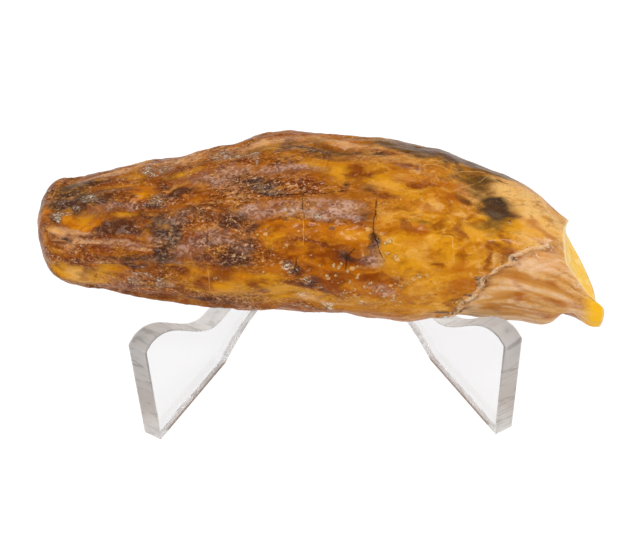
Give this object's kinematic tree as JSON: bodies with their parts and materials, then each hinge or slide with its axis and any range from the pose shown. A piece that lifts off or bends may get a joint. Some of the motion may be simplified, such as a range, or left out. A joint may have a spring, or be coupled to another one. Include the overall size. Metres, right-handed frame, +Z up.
{
  "type": "fossil cave bear tooth on a clear stand",
  "caption": "Fossil bear canine tooth with a broken crown, resting across a clear acrylic display stand bent into a V.",
  "frame": {"origin": "middle of the bottom of the bounding box, on the surface the stand's feet rest on", "axes": "+X along the tooth from root to crown, +Z up, and the stand is open towards -Y"},
  "size_m": [0.0958, 0.0492, 0.0397],
  "materials": {
    "fossil_tooth": "mineral-stained cement and dentine, amber to dark brown, waxed to a soft gloss",
    "clear_acrylic": "clear see-through acrylic sheet, polished faces and matt saw-cut edges"
  },
  "bodies": {
    "root": {"tooth": "fossil_tooth", "stand": "clear_acrylic"}
  },
  "joints": []
}
